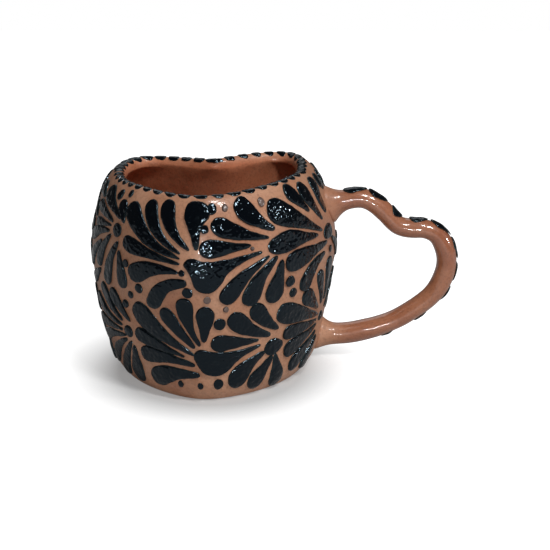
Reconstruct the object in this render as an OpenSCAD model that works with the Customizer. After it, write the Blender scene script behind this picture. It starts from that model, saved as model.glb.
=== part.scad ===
// Heart-shaped earthenware mug with raised dark enamel petals, in millimetres.
// The foot stands on z = 0, the front point faces -Y and the handle stands out along +X.

/* [Cup] */
// Width of the cup from flank to flank
cup_w = 106; // [90:1:125]
// Depth of the cup from the front point to the back lobes
cup_d = 90.4; // [78:0.2:105]
// Height of the cup
cup_h = 86.5; // [75:0.5:100]
// Thickness of the wall
wall_t = 5.8; // [4.6:0.1:6.4]
// Thickness of the floor
floor_t = 7; // [5:0.5:9]
// How much higher the rim stands on the handle side than in the middle
rim_rise = 1.3; // [0:0.1:2]

/* [Handle] */
// How far the handle stands out beyond the widest part of the cup
handle_out = 52.8; // [44:0.2:60]
// Thickness of the handle in its own plane
handle_t = 9; // [7.5:0.1:10]
// Width of the handle across its plane
handle_w = 10.4; // [9:0.1:12]
// Length of the flare where the handle meets the wall
flare_l = 9; // [7:0.5:11]
// Height of the upper root on the wall
upper_root_h = 14.2; // [12:0.2:16]
// Height of the lower root on the wall
lower_root_h = 11.6; // [10:0.2:13]
// Width of both roots on the wall
root_w = 13; // [11.5:0.5:14]

/* [Enamel] */
// Height of the enamel over the clay
relief = 1.1; // [0.7:0.05:1.4]
// Height of the thin grey dots over the clay
grey_relief = 0.6; // [0.4:0.05:0.9]
// Space under every piece that lies on the clay
seat_gap = 0.15; // [0.1:0.01:0.2]
// Number of dashes round the lip
rim_dash_count = 42; // [36:1:44]
// Length of a dash across the lip
rim_dash_l = 5.2; // [4.8:0.1:5.8]
// Width of a dash on the lip
rim_dash_w = 4.2; // [3:0.1:4.4]
// How far the thin end of a dash leans along the lip
rim_dash_lean = 1.8; // [0:0.2:2.2]
// Length of a dash on the handle
handle_dash_l = 8; // [5:0.2:8.6]
// Width of a dash on the handle
handle_dash_w = 5.4; // [3.4:0.1:5.8]

/* [Hidden] */
clay = [0.72, 0.42, 0.31];
dark = [0.05, 0.07, 0.09];
grey = [0.36, 0.29, 0.26];

// Plan of the cup as shares of half its width: an ellipse pushed into a heart
waist_share = 0.713;
front_round_share = 0.2;
back_round_share = 0.0755;
front_slope_share = 0.375;
back_slope_share = 0.8;

// Profile of the outer wall: share of the height, share of the full plan
girth_shares = [
    [0, 0.727], [0.04, 0.79], [0.12, 0.872], [0.25, 0.927], [0.45, 0.979], [0.65, 1],
    [0.8, 0.946], [0.9, 0.894], [0.95, 0.846], [0.985, 0.794], [0.996, 0.769], [1, 0.747]
];
// Heights of the rings on the outer wall and on the inner wall, as shares of the height
outer_ring_shares = [
    0, 0.015, 0.04, 0.08, 0.12, 0.18, 0.25, 0.34, 0.44, 0.54,
    0.64, 0.72, 0.8, 0.86, 0.91, 0.95, 0.975, 0.988, 0.996, 1
];
inner_ring_shares = [0.92, 0.88, 0.8, 0.7, 0.6, 0.48, 0.36, 0.25, 0.17];
// The rim starts to climb towards the handle above this share of the height
climb_share = 0.6;
// Inner half of the lip, walked from its crest inwards: inset and drop as shares of the wall
lip_shares = [[0.2, 0.03], [0.36, 0.16], [0.46, 0.4], [0.48, 0.7]];
// Rounded corner between wall and floor: inset and height as shares of the floor thickness
corner_shares = [[0.15, 0.75], [0.55, 0.28], [1.3, 0]];
// Corners round the cup, drawn closer together by this many degrees at the flanks
around = 88;
crowd = 20;
// Outer half of the lip, walked from its crest outwards, as shares of the height
lip_height_shares = [1, 0.996, 0.988, 0.975, 0.95, 0.91];

// Centreline of the handle: share of its reach, share of the cup's height
handle_path_shares = [
    [0.1, 0.816], [0.22, 0.822], [0.325, 0.801], [0.44, 0.75], [0.56, 0.688], [0.68, 0.677],
    [0.81, 0.674], [0.92, 0.643], [0.985, 0.575], [1, 0.5], [0.965, 0.42], [0.86, 0.32],
    [0.64, 0.22], [0.38, 0.153], [0.1, 0.112]
];
// Heights of the middles of the two roots, as shares of the cup's height
upper_root_share = 0.785;
lower_root_share = 0.108;
// Place of the handle's plane behind the middle, as a share of the cup's depth
handle_plane_share = 0.216;
// Rings along the handle, drawn closer together at its ends, and corners round it
handle_rings = 52;
end_crowd_share = 0.07;
handle_sides = 12;
// Middles of the dashes along the handle, as shares of its length
handle_dash_shares = [
    0.1, 0.19, 0.28, 0.4, 0.485, 0.57, 0.655, 0.725, 0.795, 0.865
];

// Petals and dots are laid out on the unrolled wall: places along it are in turns, heights
// are in cup heights, and one turn counts as this many cup heights
turn_share = 4;

// Each petal: head place, head height, tail place, tail height, head width, tail width, bend,
// and the power of its taper where it differs from the usual one
upper_left_shares = [
    [0.584, 0.935, 0.625, 0.858, 0.080, 0.02, -0.03],
    [0.629, 0.905, 0.635, 0.852, 0.060, 0.025, 0],
    [0.566, 0.858, 0.608, 0.822, 0.055, 0.02, 0],
    [0.568, 0.778, 0.603, 0.792, 0.035, 0.015, 0],
    [0.557, 0.700, 0.602, 0.762, 0.060, 0.02, 0.05],
    [0.585, 0.600, 0.609, 0.738, 0.065, 0.02, 0.05],
    [0.607, 0.535, 0.628, 0.715, 0.070, 0.03, 0.05],
    [0.641, 0.555, 0.636, 0.672, 0.078, 0.03, 0],
    [0.545, 0.935, 0.562, 0.912, 0.060, 0.025, 0],
    [0.540, 0.835, 0.552, 0.800, 0.055, 0.02, 0],
    [0.538, 0.735, 0.541, 0.665, 0.045, 0.02, 0],
    [0.553, 0.565, 0.585, 0.685, 0.065, 0.02, 0.05]
];
upper_front_shares = [
    [0.681, 0.930, 0.722, 0.763, 0.080, 0.02, -0.13, 1.5],
    [0.707, 0.936, 0.734, 0.785, 0.090, 0.022, -0.12, 1.5],
    [0.7445, 0.928, 0.747, 0.795, 0.112, 0.032, 0, 2.2],
    [0.653, 0.890, 0.722, 0.737, 0.114, 0.02, -0.10, 1.6],
    [0.653, 0.748, 0.722, 0.710, 0.084, 0.015, 0, 1.8],
    [0.668, 0.622, 0.720, 0.668, 0.110, 0.02, 0.10],
    [0.693, 0.503, 0.732, 0.618, 0.096, 0.03, 0.18]
];
upper_right_shares = [
    [0.779, 0.872, 0.836, 0.798, 0.094, 0.016, -0.04],
    [0.764, 0.777, 0.810, 0.773, 0.092, 0.02, 0],
    [0.8115, 0.935, 0.846, 0.836, 0.106, 0.035, -0.05, 1.7],
    [0.787, 0.556, 0.834, 0.698, 0.096, 0.02, 0.07],
    [0.8155, 0.532, 0.8455, 0.684, 0.108, 0.028, 0.09],
    [0.8465, 0.522, 0.8555, 0.652, 0.106, 0.032, 0]
];
upper_handle_shares = [
    [0.861, 0.893, 0.936, 0.739, 0.130, 0.02, 0],
    [0.893, 0.949, 0.915, 0.860, 0.080, 0.02, 0],
    [0.922, 0.930, 0.946, 0.788, 0.095, 0.02, -0.05, 1.7],
    [0.957, 0.925, 0.966, 0.802, 0.088, 0.03, -0.12],
    [0.985, 0.928, 0.990, 0.898, 0.070, 0.04, 0],
    [1.012, 0.928, 1.008, 0.900, 0.055, 0.03, 0],
    [0.961, 0.705, 0.949, 0.703, 0.060, 0.05, 0],
    [0.8765, 0.650, 0.942, 0.667, 0.106, 0.02, 0.02],
    [0.897, 0.528, 0.933, 0.622, 0.094, 0.025, 0.15],
    [1.000, 0.565, 0.970, 0.655, 0.065, 0.02, 0],
    [1.022, 0.600, 1.018, 0.480, 0.050, 0.02, 0]
];
lower_left_shares = [
    [0.619, 0.455, 0.644, 0.365, 0.065, 0.025, 0],
    [0.593, 0.455, 0.628, 0.350, 0.065, 0.02, -0.05],
    [0.572, 0.385, 0.625, 0.318, 0.055, 0.02, -0.05],
    [0.575, 0.285, 0.624, 0.288, 0.050, 0.02, 0],
    [0.573, 0.195, 0.630, 0.262, 0.055, 0.02, 0.05],
    [0.590, 0.105, 0.632, 0.238, 0.060, 0.02, 0.05],
    [0.615, 0.072, 0.642, 0.228, 0.065, 0.02, 0.04],
    [0.645, 0.088, 0.648, 0.205, 0.100, 0.025, 0],
    [0.560, 0.478, 0.583, 0.540, 0.050, 0.02, 0],
    [0.545, 0.385, 0.556, 0.315, 0.060, 0.02, 0],
    [0.548, 0.185, 0.553, 0.265, 0.055, 0.02, 0],
    [0.562, 0.085, 0.567, 0.150, 0.055, 0.02, 0]
];
lower_front_shares = [
    [0.672, 0.405, 0.736, 0.257, 0.130, 0.018, -0.05],
    [0.6665, 0.294, 0.722, 0.238, 0.080, 0.015, 0, 1.5],
    [0.673, 0.207, 0.736, 0.197, 0.086, 0.028, 0.04, 1.8],
    [0.687, 0.105, 0.742, 0.142, 0.106, 0.03, 0.07],
    [0.709, 0.433, 0.738, 0.303, 0.080, 0.03, -0.03],
    [0.732, 0.495, 0.746, 0.321, 0.090, 0.02, -0.09, 1.8],
    [0.757, 0.458, 0.755, 0.345, 0.094, 0.035, 0]
];
lower_right_shares = [
    [0.7975, 0.410, 0.839, 0.309, 0.102, 0.035, -0.07, 1.5],
    [0.7765, 0.309, 0.823, 0.290, 0.094, 0.02, 0, 1.5],
    [0.8248, 0.437, 0.8515, 0.337, 0.088, 0.034, -0.06],
    [0.802, 0.117, 0.833, 0.205, 0.112, 0.03, 0.07],
    [0.829, 0.083, 0.848, 0.165, 0.096, 0.03, 0],
    [0.864, 0.068, 0.858, 0.166, 0.098, 0.03, 0]
];
lower_handle_shares = [
    [0.868, 0.392, 0.932, 0.309, 0.126, 0.03, 0, 1.4],
    [0.904, 0.438, 0.932, 0.352, 0.092, 0.02, -0.02],
    [0.929, 0.515, 0.942, 0.370, 0.062, 0.02, 0],
    [0.956, 0.535, 0.955, 0.385, 0.088, 0.025, 0],
    [0.877, 0.280, 0.933, 0.274, 0.076, 0.02, 0],
    [0.883, 0.190, 0.936, 0.243, 0.088, 0.02, 0],
    [0.897, 0.106, 0.938, 0.198, 0.086, 0.02, 0],
    [0.925, 0.078, 0.946, 0.160, 0.070, 0.02, 0],
    [0.990, 0.440, 0.966, 0.325, 0.080, 0.02, 0],
    [1.018, 0.380, 1.002, 0.265, 0.060, 0.02, 0]
];
// Petals on the side across from the handle, where the other side has the two roots
side_shares = [
    [0.486, 0.820, 0.478, 0.735, 0.060, 0.02, 0],
    [0.503, 0.845, 0.503, 0.730, 0.060, 0.02, 0],
    [0.519, 0.775, 0.522, 0.700, 0.055, 0.02, 0],
    [0.485, 0.075, 0.490, 0.190, 0.080, 0.02, 0],
    [0.512, 0.075, 0.507, 0.190, 0.080, 0.02, 0]
];

// Each hub: its middle, then the points round it
front_hub_shares = [
    [0.762, 0.680],
    [
        [0.7315, 0.710], [0.735, 0.727], [0.742, 0.732], [0.750, 0.717], [0.760, 0.711],
        [0.775, 0.714], [0.790, 0.719], [0.806, 0.728], [0.820, 0.738], [0.831, 0.741],
        [0.833, 0.731], [0.821, 0.721], [0.809, 0.709], [0.798, 0.693], [0.788, 0.674],
        [0.782, 0.648], [0.778, 0.614], [0.769, 0.579], [0.759, 0.570], [0.749, 0.581],
        [0.744, 0.612], [0.742, 0.652], [0.7385, 0.680], [0.734, 0.697]
    ]
];
right_hub_shares = [
    [0.868, 0.752],
    [
        [0.836, 0.745], [0.842, 0.775], [0.852, 0.783], [0.866, 0.797], [0.882, 0.793],
        [0.900, 0.765], [0.929, 0.729], [0.929, 0.717], [0.900, 0.722], [0.878, 0.715],
        [0.858, 0.706], [0.842, 0.715]
    ]
];
lower_front_hub_shares = [
    [0.770, 0.215],
    [
        [0.740, 0.250], [0.745, 0.271], [0.751, 0.276], [0.759, 0.265], [0.766, 0.257],
        [0.778, 0.253], [0.790, 0.252], [0.802, 0.254], [0.818, 0.260], [0.832, 0.266],
        [0.834, 0.255], [0.822, 0.243], [0.811, 0.230], [0.803, 0.213], [0.796, 0.188],
        [0.789, 0.160], [0.781, 0.146], [0.770, 0.139], [0.759, 0.144], [0.751, 0.166],
        [0.746, 0.198], [0.742, 0.227]
    ]
];
lower_right_hub_shares = [
    [0.851, 0.232],
    [
        [0.839, 0.215], [0.839, 0.243], [0.845, 0.267], [0.852, 0.274], [0.859, 0.262],
        [0.866, 0.238], [0.864, 0.210], [0.857, 0.193], [0.847, 0.192]
    ]
];

// Each dot: place, height, radius
dark_dot_shares = [
    [0.768, 0.953, 0.028], [0.7585, 0.866, 0.020], [0.670, 0.538, 0.026],
    [0.737, 0.573, 0.028], [0.730, 0.667, 0.016], [0.869, 0.557, 0.031],
    [0.875, 0.493, 0.026], [0.6495, 0.648, 0.021], [0.612, 0.950, 0.027],
    [0.633, 0.968, 0.017], [0.720, 0.088, 0.017], [0.749, 0.088, 0.016],
    [0.774, 0.093, 0.030], [0.775, 0.411, 0.033], [0.643, 0.435, 0.022],
    [0.6545, 0.492, 0.020], [0.958, 0.618, 0.018], [0.953, 0.275, 0.030],
    [0.625, 0.787, 0.040], [0.642, 0.292, 0.034]
];
grey_dot_shares = [
    [0.786, 0.952, 0.017], [0.839, 0.950, 0.021], [0.760, 0.540, 0.018],
    [0.783, 0.483, 0.014], [0.817, 0.757, 0.010]
];

// Stations along a petal: step past the head's middle in head radii, then shares of the length
head_step_share = -0.72;
head_width_share = 0.69;
station_shares = [0, 0.33, 0.67, 1];
dash_station_shares = [0, 0.25, 0.5, 0.75, 1];
taper_power = 1.3;
// Section of a petal: its shoulders as shares of the half width and of the height, the height
// of its thin end and of its tips as shares of the full height
shoulder_shares = [0.72, 0.78];
thin_height_share = 0.6;
tip_height_share = 0.25;
// Rings of a hub and of a dot: size and height as shares of the full ones
hub_ring_shares = [[0.86, 0.78], [0.45, 1]];
hub_seat_share = 0.5;
dot_ring_share = [0.74, 0.76];
dot_sides = 10;
// Dashes: half width of the thin end as a share of the width, part of a lip dash that lies
// outside the crest, and their height as a share of the usual relief
dash_end_share = 0.34;
lip_dash_out_share = 0.4;
dash_relief_share = 0.6;
// Lip dashes stand closer and are narrower at the flanks than at the front and the back
dash_crowd_share = 0.013;
dash_narrow_share = 0.14;
// The back carries the same pattern this many turns on
back_turn = 0.5;
// Steps for finding directions: in degrees, as a share of the height, of the handle, of the wall
turn_step = 0.5;
height_step_share = 0.005;
handle_step_share = 0.005;
lip_step_share = 0.12;

// Plan of the cup
function plan_raw(t) =
    let (
        near = (1 + sin(t)) / 2,
        mix = near * near * (3 - 2 * near),
        soft = front_round_share + (back_round_share - front_round_share) * mix,
        slope = front_slope_share + (back_slope_share - front_slope_share) * mix,
        x = cos(t)
    )
    [x, waist_share * sin(t) + slope * (sqrt(x * x + soft * soft) - soft)];
plan_low = min([for (t = [0:3:357]) plan_raw(t).y]);
plan_high = max([for (t = [0:3:357]) plan_raw(t).y]);
plan_mid = (plan_low + plan_high) / 2;
function plan(t) =
    let (p = plan_raw(t))
    [p.x * cup_w / 2, (p.y - plan_mid) * cup_d / (plan_high - plan_low)];
function plan_out(t) =
    let (step = plan(t + turn_step) - plan(t - turn_step))
    [step.y, -step.x] / norm(step);

// Smooth curve through the rows of a table, by height
function slope_at(table, i) =
    let (
        last = len(table) - 1,
        before = i == 0 ? undef : (table[i][1] - table[i - 1][1]) / (table[i][0] - table[i - 1][0]),
        after = i == last ? undef : (table[i + 1][1] - table[i][1]) / (table[i + 1][0] - table[i][0])
    )
    i == 0 ? after : i == last ? before : (before + after) / 2;
function row_below(table, x, i = 0) =
    i >= len(table) - 2 || x < table[i + 1][0] ? i : row_below(table, x, i + 1);
function smooth_lookup(table, x) =
    let (
        i = row_below(table, x),
        step = table[i + 1][0] - table[i][0],
        s = (x - table[i][0]) / step
    )
    table[i][1] * (1 + 2 * s) * (1 - s) * (1 - s)
    + slope_at(table, i) * step * s * (1 - s) * (1 - s)
    + table[i + 1][1] * s * s * (3 - 2 * s)
    + slope_at(table, i + 1) * step * s * s * (s - 1);

// Outer surface of the wall: turn angle and share of the height
function climb(x, h) = rim_rise * x / (cup_w / 2) * max(0, (h - climb_share) / (1 - climb_share));
function wall(t, h) =
    let (p = smooth_lookup(girth_shares, h) * plan(t))
    [p.x, p.y, cup_h * h + climb(p.x, h)];
function wall_out(t, h) =
    let (
        side = wall(t + turn_step, h) - wall(t - turn_step, h),
        rise = wall(t, min(1, h + height_step_share)) - wall(t, max(0, h - height_step_share)),
        n = cross(side, rise)
    )
    n / norm(n);
function inset(t, h, depth, z) =
    let (p = smooth_lookup(girth_shares, h) * plan(t) - depth * plan_out(t))
    [p.x, p.y, z + climb(p.x, h)];

// Closed shell through rings of points, with a tip at each end
function ring_faces(rings, sides) = [
    for (i = [0:rings - 2], k = [0:sides - 1])
        let (a = i * sides + k, b = i * sides + (k + 1) % sides)
        each [[a, b, b + sides], [a, b + sides, a + sides]]
];
function tip_faces(rings, sides) = [
    for (k = [0:sides - 1])
        let (n = (k + 1) % sides, last = (rings - 1) * sides)
        each [[rings * sides, n, k], [rings * sides + 1, last + k, last + n]]
];
function shell(rings, first_tip, last_tip) =
    let (sides = len(rings[0]))
    [
        [for (ring = rings) each ring, first_tip, last_tip],
        concat(ring_faces(len(rings), sides), tip_faces(len(rings), sides))
    ];
module solids(shells) {
    starts = [
        for (i = 0, n = 0; i < len(shells); n = n + len(shells[i][0]), i = i + 1) n
    ];
    polyhedron(
        points = [for (s = shells) each s[0]],
        faces = [
            for (i = [0:len(shells) - 1], face = shells[i][1]) [for (k = face) k + starts[i]]
        ]
    );
}

// Skins that enamel lies on: place on the skin and height over it
wall_skin = function (p, lift)
    let (t = 360 * p.x / turn_share)
    wall(t, p.y) + lift * wall_out(t, p.y);

// Lip: walked from the crest, inwards for a positive distance and outwards for a negative one
function lip_inset(t, row) = inset(t, 1, row[0] * wall_t, cup_h - row[1] * wall_t);
function walked(points, run, i = 0) =
    let (step = norm(points[i + 1] - points[i]))
    run > step && i < len(points) - 2 ? walked(points, run - step, i + 1)
    : points[i] + run / step * (points[i + 1] - points[i]);
function lip_point(t, run) =
    run < 0 ? walked([for (h = lip_height_shares) wall(t, h)], -run)
    : walked([wall(t, 1), for (row = lip_shares) lip_inset(t, row)], run);
function lip_out(t, run) =
    let (
        side = lip_point(t + turn_step, run) - lip_point(t - turn_step, run),
        over = lip_point(t, run + lip_step_share * wall_t) - lip_point(t, run - lip_step_share * wall_t),
        n = cross(side, over)
    )
    n / norm(n);
function lip_skin(t) =
    let (run_per_turn = norm(lip_point(t + turn_step, 0) - lip_point(t - turn_step, 0)) / turn_step / 2)
    function (p, lift)
        let (u = t + p.x / run_per_turn)
        lip_point(u, p.y) + lift * lip_out(u, p.y);
lip_runs = [
    for (k = 0, run = 0; k <= around;
        run = run + norm(wall(cup_turn(k + 1), 1) - wall(cup_turn(k), 1)), k = k + 1)
        [run, cup_turn(k)]
];
function lip_turn(share) = lookup(share * lip_runs[around][0], lip_runs);
function handle_skin(share) =
    let (
        step = handle_point(share + handle_step_share) - handle_point(share - handle_step_share),
        run_l = norm(step) / handle_step_share / 2
    )
    function (p, lift)
        let (
            s = share + p.x / run_l,
            a = p.y / (handle_w / 2) * 180 / PI
        )
        tube_point(s, a, lift);

// Domed shells on a skin
function dome_ring(skin, mid, side, top) = [
    skin(mid - side, seat_gap),
    skin(mid - shoulder_shares[0] * side, shoulder_shares[1] * top),
    skin(mid, top),
    skin(mid + shoulder_shares[0] * side, shoulder_shares[1] * top),
    skin(mid + side, seat_gap),
    skin(mid, seat_gap)
];
function drop(skin, head, tail, head_r, tail_r, bend, power, top, stations) =
    let (
        length = norm(tail - head),
        along = (tail - head) / length,
        left = [-along.y, along.x],
        middle = function (s) head + s * (tail - head) + bend * 4 * s * (1 - s) * length * left,
        facing = function (s)
            let (step = along + bend * 4 * (1 - 2 * s) * left)
            [-step.y, step.x] / norm(step),
        ahead = function (s) [facing(s).y, -facing(s).x],
        high = function (r) top * (thin_height_share + (1 - thin_height_share) * r / head_r)
    )
    shell(
        [
            dome_ring(
                skin, head + head_step_share * head_r * ahead(0),
                head_width_share * head_r * facing(0), high(tail_r)
            ),
            for (s = stations)
                let (r = tail_r + (head_r - tail_r) * pow(1 - s, power))
                dome_ring(skin, middle(s), r * facing(s), high(r))
        ],
        skin(head - head_r * ahead(0), tip_height_share * top),
        skin(tail + tail_r * ahead(1), tip_height_share * top)
    );
function petal(row, turn) = drop(
    wall_skin, [(row[0] - turn) * turn_share, row[1]], [(row[2] - turn) * turn_share, row[3]],
    row[4] / 2, row[5] / 2, row[6], len(row) > 7 ? row[7] : taper_power, relief,
    station_shares
);
function outline_ring(points, mid, share, lift) =
    [for (p = points) wall_skin(mid + share * (p - mid), lift)];
function hub(table, turn) =
    let (
        place = function (p) [(p.x - turn) * turn_share, p.y],
        mid = place(table[0]),
        points = [for (p = table[1]) place(p)]
    )
    shell(
        [
            outline_ring(points, mid, hub_seat_share, seat_gap),
            outline_ring(points, mid, 1, seat_gap),
            for (row = hub_ring_shares) outline_ring(points, mid, row[0], row[1] * relief)
        ],
        wall_skin(mid, seat_gap),
        wall_skin(mid, relief)
    );
function dot(row, turn, top) =
    let (
        mid = [(row[0] - turn) * turn_share, row[1]],
        points = [
            for (k = [0:dot_sides - 1])
                let (a = 360 * k / dot_sides)
                mid + row[2] * [-cos(a), sin(a)]
        ]
    )
    shell(
        [
            outline_ring(points, mid, 1, seat_gap),
            outline_ring(points, mid, dot_ring_share[0], dot_ring_share[1] * top)
        ],
        wall_skin(mid, seat_gap),
        wall_skin(mid, top)
    );
module fan(rows, hubs, turn) {
    color(dark)
        solids(concat([for (row = rows) petal(row, turn)], [for (table = hubs) hub(table, turn)]));
}

// Cup: outer wall, rolled lip, inner wall and floor
function cup_turn(k) = 360 * k / around - crowd / 2 * sin(720 * k / around);
function cup_ring(point) = [for (k = [0:around - 1]) point(cup_turn(-k))];
module cup_body() {
    last = inner_ring_shares[len(inner_ring_shares) - 1];
    color(clay)
        solids([
            shell(
                [
                    for (h = outer_ring_shares) cup_ring(function (t) wall(t, h)),
                    for (row = lip_shares) cup_ring(function (t) lip_inset(t, row)),
                    for (h = inner_ring_shares)
                        cup_ring(function (t) inset(t, h, wall_t, cup_h * h)),
                    for (row = corner_shares)
                        cup_ring(function (t) inset(
                            t, last, wall_t + row[0] * floor_t,
                            floor_t + row[1] * (cup_h * last - floor_t)
                        ))
                ],
                [0, 0, 0],
                [0, 0, floor_t]
            )
        ]);
}

// Handle: a tube swept along its path, flared onto the wall at both roots
handle_y = handle_plane_share * cup_d;
function root_turn(h) =
    (handle_y / smooth_lookup(girth_shares, h) - plan(0).y) / (plan(1).y - plan(0).y);
function root_point(h, up, across) =
    let (
        t = root_turn(h) + across / (plan(1).y - plan(0).y),
        rise = h + up / cup_h
    )
    wall(t, rise) + seat_gap * wall_out(t, rise);
handle_points = [
    root_point(upper_root_share, 0, 0),
    for (row = handle_path_shares)
        [cup_w / 2 + (handle_out - handle_t / 2) * row[0], handle_y, cup_h * row[1]],
    root_point(lower_root_share, 0, 0)
];
function handle_point(s) =
    let (
        last = len(handle_points) - 1,
        i = min(last - 1, floor(s * last)),
        f = s * last - i,
        a = handle_points[max(0, i - 1)],
        b = handle_points[i],
        c = handle_points[i + 1],
        d = handle_points[min(last, i + 2)]
    )
    b + f * (c - a) / 2
    + f * f * (2 * a - 5 * b + 4 * c - d) / 2
    + f * f * f * (3 * b - 3 * c + d - a) / 2;
function handle_outward(s) =
    let (
        step = handle_point(min(1, s + handle_step_share))
            - handle_point(max(0, s - handle_step_share))
    )
    [-step.z, 0, step.x] / norm([step.x, 0, step.z]);
function tube_point(s, a, lift) =
    handle_point(s)
    + (handle_t / 2 + lift) * cos(a) * handle_outward(s)
    + (handle_w / 2 + lift) * sin(a) * [0, 1, 0];
function root_ring(h, side, size) = [
    for (k = [0:handle_sides - 1])
        let (
            a = 360 * k / handle_sides,
            root_h = side > 0 ? upper_root_h : lower_root_h
        )
        root_point(h, size * side * root_h / 2 * cos(a), size * root_w / 2 * sin(a))
];
function flare_ring(s) =
    let (
        upper = s < 0.5,
        h = upper ? upper_root_share : lower_root_share,
        root = root_ring(h, upper ? 1 : -1, 1),
        way = handle_point(s) - handle_point(upper ? 0 : 1),
        left = max(0, 1 - norm(way) / flare_l),
        mix = left * left
    )
    [
        for (k = [0:handle_sides - 1])
            mix * (root[k] + way) + (1 - mix) * tube_point(s, 360 * k / handle_sides, 0)
    ];
module handle() {
    color(clay)
        solids([
            shell(
                [
                    root_ring(upper_root_share, 1, 0.5),
                    root_ring(upper_root_share, 1, 1),
                    for (i = [1:handle_rings - 1])
                        flare_ring(i / handle_rings - end_crowd_share * sin(360 * i / handle_rings)),
                    root_ring(lower_root_share, -1, 1),
                    root_ring(lower_root_share, -1, 0.5)
                ],
                handle_points[0],
                handle_points[len(handle_points) - 1]
            )
        ]);
}

// Dashes across the lip and along the back of the handle
module rim_dashes() {
    out_l = lip_dash_out_share * rim_dash_l;
    color(dark)
        solids([
            for (k = [0:rim_dash_count - 1])
                let (
                    share = (k + 0.5) / rim_dash_count,
                    head_r = rim_dash_w / 2 * (1 - dash_narrow_share * cos(720 * share)),
                    end_r = dash_end_share * 2 * head_r
                )
                drop(
                    lip_skin(lip_turn(share - dash_crowd_share * sin(720 * share))),
                    [rim_dash_lean / 2, head_r - out_l],
                    [-rim_dash_lean / 2, rim_dash_l - out_l - end_r],
                    head_r, end_r, 0, taper_power, dash_relief_share * relief,
                    dash_station_shares
                )
        ]);
}
module handle_dashes() {
    end_r = dash_end_share * handle_dash_w;
    color(dark)
        solids([
            for (share = handle_dash_shares)
                drop(
                    handle_skin(share), [(handle_dash_w - handle_dash_l) / 2, 0],
                    [handle_dash_l / 2 - end_r, 0],
                    handle_dash_w / 2, end_r, 0, taper_power, dash_relief_share * relief,
                    dash_station_shares
                )
        ]);
}

// Enamel fans: each is drawn once on the side in the photograph and once half a turn on
module upper_left_fan(turn = 0) { fan(upper_left_shares, [], turn); }
module upper_front_fan(turn = 0) { fan(upper_front_shares, [front_hub_shares], turn); }
module upper_right_fan(turn = 0) { fan(upper_right_shares, [right_hub_shares], turn); }
module upper_handle_fan(turn = 0) { fan(upper_handle_shares, [], turn); }
module lower_left_fan(turn = 0) { fan(lower_left_shares, [], turn); }
module lower_front_fan(turn = 0) { fan(lower_front_shares, [lower_front_hub_shares], turn); }
module lower_right_fan(turn = 0) { fan(lower_right_shares, [lower_right_hub_shares], turn); }
module lower_handle_fan(turn = 0) { fan(lower_handle_shares, [], turn); }
module side_petals() { fan(side_shares, [], 0); }
module dark_dots() {
    color(dark)
        solids([for (turn = [0, back_turn], row = dark_dot_shares) dot(row, turn, relief)]);
}
module grey_dots() {
    color(grey)
        solids([for (turn = [0, back_turn], row = grey_dot_shares) dot(row, turn, grey_relief)]);
}

cup_body();
handle();
rim_dashes();
handle_dashes();
upper_left_fan();
upper_front_fan();
upper_right_fan();
upper_handle_fan();
lower_left_fan();
lower_front_fan();
lower_right_fan();
lower_handle_fan();
upper_left_fan(back_turn);  // back_upper_left_fan
upper_front_fan(back_turn);  // back_upper_front_fan
upper_right_fan(back_turn);  // back_upper_right_fan
upper_handle_fan(back_turn);  // back_upper_handle_fan
lower_left_fan(back_turn);  // back_lower_left_fan
lower_front_fan(back_turn);  // back_lower_front_fan
lower_right_fan(back_turn);  // back_lower_right_fan
lower_handle_fan(back_turn);  // back_lower_handle_fan
side_petals();
dark_dots();
grey_dots();
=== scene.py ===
"""Heart-shaped talavera mug: clay cup and handle under raised dark enamel, over its frame.

Lengths are in metres. The mug stands on z = 0, its handle points along +x and the point of
the heart faces -y.
"""

import math

import bpy
from mathutils import Matrix, Vector, noise
from mathutils.bvhtree import BVHTree


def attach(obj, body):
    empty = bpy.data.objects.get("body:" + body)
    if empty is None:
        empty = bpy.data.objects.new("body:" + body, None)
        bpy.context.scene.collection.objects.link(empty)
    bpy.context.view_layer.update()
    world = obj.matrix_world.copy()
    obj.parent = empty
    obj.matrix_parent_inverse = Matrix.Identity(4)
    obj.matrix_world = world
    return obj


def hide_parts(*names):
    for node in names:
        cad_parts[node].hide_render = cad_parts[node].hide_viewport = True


bl_info = {
    "name": "Talavera Mug",
    "version": (1, 0, 0),
    "blender": (4, 5, 0),
    "location": "View3D > Sidebar > Mug",
    "description": "Dresses a heart-shaped mug in glazed clay and raised enamel petals",
    "category": "Object",
}

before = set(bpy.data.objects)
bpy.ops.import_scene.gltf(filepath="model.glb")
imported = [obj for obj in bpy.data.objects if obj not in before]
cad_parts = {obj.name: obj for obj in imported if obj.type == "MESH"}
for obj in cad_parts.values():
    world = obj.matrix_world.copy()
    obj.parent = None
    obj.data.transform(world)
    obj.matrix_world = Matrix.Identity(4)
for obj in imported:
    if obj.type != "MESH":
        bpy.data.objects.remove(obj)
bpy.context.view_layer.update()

MM = 0.001
UP = Vector((0, 0, 1))

CUP_NAME = "clay_cup"
HANDLE_NAME = "clay_handle"
CLAY_NAME = "glazed_terracotta"
DARK_NAME = "blue_black_enamel"
GREY_NAME = "grey_brown_enamel"

# The enamel nodes of each kind, with the piece that stands for each
LIP_DASHES = {"rim_dashes": "lip_dashes"}
HANDLE_DASHES = {"handle_dashes": "handle_back_dashes"}
PETALS = {
    f"{side}{row}_{place}_fan": f"petals_{side}{row}_{place}"
    for side in ("", "back_")
    for row in ("upper", "lower")
    for place in ("left", "front", "right", "handle")
}
PETALS["side_petals"] = "petals_side"
DARK_DOTS = {"dark_dots": "dots_dark"}
GREY_DOTS = {"grey_dots": "dots_grey"}
ENAMEL = {**LIP_DASHES, **HANDLE_DASHES, **PETALS, **DARK_DOTS, **GREY_DOTS}

# Copies of the nodes: how near two points merge, and how far two triangles of a quad may differ
MERGE_GAP = 0.002 * MM
QUAD_ANGLE = math.radians(60)

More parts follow.
